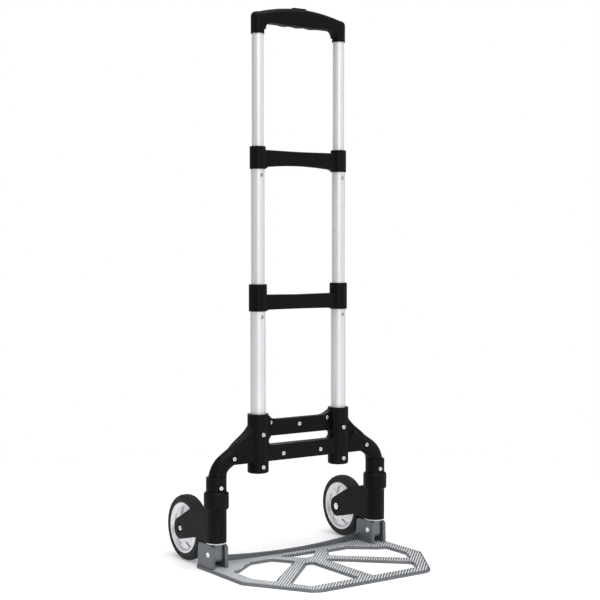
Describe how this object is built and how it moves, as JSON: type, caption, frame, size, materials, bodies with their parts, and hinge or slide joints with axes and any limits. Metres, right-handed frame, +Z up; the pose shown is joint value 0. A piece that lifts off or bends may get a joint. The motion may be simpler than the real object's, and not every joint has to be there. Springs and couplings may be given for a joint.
{
  "type": "folding luggage cart",
  "caption": "Folding hand cart with a hinged toe plate, wheels that swing flat as it folds, and a three-stage telescopic push handle with a release button.",
  "frame": {"origin": "on the floor, at the centre of the cart's footprint", "axes": "+Z up along the tubes, +Y to the back, the side the wheels are on; the toe plate reaches to -Y"},
  "size_m": [0.395, 0.3836, 0.9904],
  "materials": {
    "black_plastic": "satin moulded, lightly grained",
    "tube_aluminium": "satin anodised, drawn lengthwise",
    "cast_aluminium": "die cast, ribbed tread",
    "bright_steel": "zinc plated, bright",
    "leg_steel": "black powder coat",
    "tang_zinc": "as cast, dull grey",
    "tyre_rubber": "moulded rubber with fine grooves",
    "rim_silver": "silver, glossy",
    "white_nylon": "natural nylon, smooth"
  },
  "bodies": {
    "frame": {"base_front_shell": "black_plastic", "base_rear_shell": "black_plastic", "base_screws": "bright_steel", "outer_tube_left": "tube_aluminium", "outer_tube_right": "tube_aluminium", "stop_plug_left": "black_plastic", "stop_plug_right": "black_plastic", "lower_cross_collar": "black_plastic", "lower_collar_screws": "bright_steel", "lower_guide_rings": "black_plastic", "leg_tube_left": "leg_steel", "leg_tube_right": "leg_steel", "foot_tang_left": "tang_zinc", "foot_tang_right": "tang_zinc", "retaining_ring_left": "white_nylon", "retaining_ring_right": "white_nylon", "thrust_washer_left": "black_plastic", "thrust_washer_right": "black_plastic"},
    "toe_plate": {"toe_plate": "cast_aluminium", "hinge_pin_left": "bright_steel", "hinge_pin_right": "bright_steel"},
    "left_bracket": {"wheel_bracket_left": "black_plastic", "axle_bolt_left": "bright_steel", "axle_nut_left": "bright_steel"},
    "right_bracket": {"wheel_bracket_right": "black_plastic", "axle_bolt_right": "bright_steel", "axle_nut_right": "bright_steel"},
    "left_wheel": {"wheel_hub_left": "rim_silver", "tyre_left": "tyre_rubber", "wheel_bearings_left": "white_nylon"},
    "right_wheel": {"wheel_hub_right": "rim_silver", "tyre_right": "tyre_rubber", "wheel_bearings_right": "white_nylon"},
    "mid_stage": {"mid_tube_left": "tube_aluminium", "mid_tube_right": "tube_aluminium", "mid_guide_plug_left": "black_plastic", "mid_guide_plug_right": "black_plastic", "upper_cross_collar": "black_plastic", "upper_collar_screws": "bright_steel", "upper_guide_rings": "black_plastic", "mid_pin_spring_left": "bright_steel", "mid_pin_spring_right": "bright_steel"},
    "handle_stage": {"inner_tube_left": "tube_aluminium", "inner_tube_right": "tube_aluminium", "inner_guide_plug_left": "black_plastic", "inner_guide_plug_right": "black_plastic", "handle_grip": "black_plastic", "handle_cap": "black_plastic", "handle_screws": "bright_steel", "inner_pin_spring_left": "bright_steel", "inner_pin_spring_right": "bright_steel", "button_spring": "bright_steel"},
    "release": {"release_button": "black_plastic", "release_bar": "black_plastic", "release_rod_left": "bright_steel", "release_rod_right": "bright_steel"},
    "mid_pin_left": {"mid_lock_pin_left": "bright_steel"},
    "mid_pin_right": {"mid_lock_pin_right": "bright_steel"},
    "inner_pin_left": {"inner_lock_pin_left": "bright_steel"},
    "inner_pin_right": {"inner_lock_pin_right": "bright_steel"}
  },
  "joints": [
    {"name": "plate_fold", "type": "hinge", "parent": "frame", "child": "toe_plate", "pos_m": [0, 0.03525, 0.029], "axis": [-1, 0, 0], "range_deg": [0, 90]},
    {"name": "left_bracket_swing", "type": "hinge", "parent": "frame", "child": "left_bracket", "pos_m": [-0.1755, 0.03525, 0.09], "axis": [0, 0, -1], "range_deg": [0, 90]},
    {"name": "right_bracket_swing", "type": "hinge", "parent": "frame", "child": "right_bracket", "pos_m": [0.1755, 0.03525, 0.09], "axis": [0, 0, 1], "range_deg": [0, 90]},
    {"name": "left_wheel_spin", "type": "hinge", "parent": "left_bracket", "child": "left_wheel", "pos_m": [-0.1755, 0.13275, 0.059], "axis": [1, 0, 0], "continuous": true},
    {"name": "right_wheel_spin", "type": "hinge", "parent": "right_bracket", "child": "right_wheel", "pos_m": [0.1755, 0.13275, 0.059], "axis": [1, 0, 0], "continuous": true},
    {"name": "mid_stage_slide", "type": "slide", "parent": "frame", "child": "mid_stage", "axis": [0, 0, -1], "range_m": [0, 0.202]},
    {"name": "handle_slide", "type": "slide", "parent": "mid_stage", "child": "handle_stage", "axis": [0, 0, -1], "range_m": [0, 0.196]},
    {"name": "button_press", "type": "slide", "parent": "handle_stage", "child": "release", "axis": [0, 0, -1], "range_m": [0, 0.005], "stiffness_N_per_m": 700, "springref_m": -0.004, "deforming": ["button_spring"]},
    {"name": "inner_pin_left_draw", "type": "slide", "parent": "handle_stage", "child": "inner_pin_left", "axis": [0, 1, 0], "range_m": [0, 0.003], "deforming": ["inner_pin_spring_left"]},
    {"name": "mid_pin_left_press", "type": "slide", "parent": "mid_stage", "child": "mid_pin_left", "axis": [0, 1, 0], "range_m": [0, 0.003], "stiffness_N_per_m": 400, "springref_m": -0.002, "deforming": ["mid_pin_spring_left"]},
    {"name": "inner_pin_right_draw", "type": "slide", "parent": "handle_stage", "child": "inner_pin_right", "axis": [0, 1, 0], "range_m": [0, 0.003], "deforming": ["inner_pin_spring_right"]},
    {"name": "mid_pin_right_press", "type": "slide", "parent": "mid_stage", "child": "mid_pin_right", "axis": [0, 1, 0], "range_m": [0, 0.003], "stiffness_N_per_m": 400, "springref_m": -0.002, "deforming": ["mid_pin_spring_right"]}
  ],
  "couplings": [
    {"joint": "left_bracket_swing", "follows": "plate_fold", "ratio": 1},
    {"joint": "right_bracket_swing", "follows": "plate_fold", "ratio": 1},
    {"joint": "inner_pin_left_draw", "follows": "button_press", "ratio": 0.6},
    {"joint": "inner_pin_right_draw", "follows": "button_press", "ratio": 0.6}
  ]
}
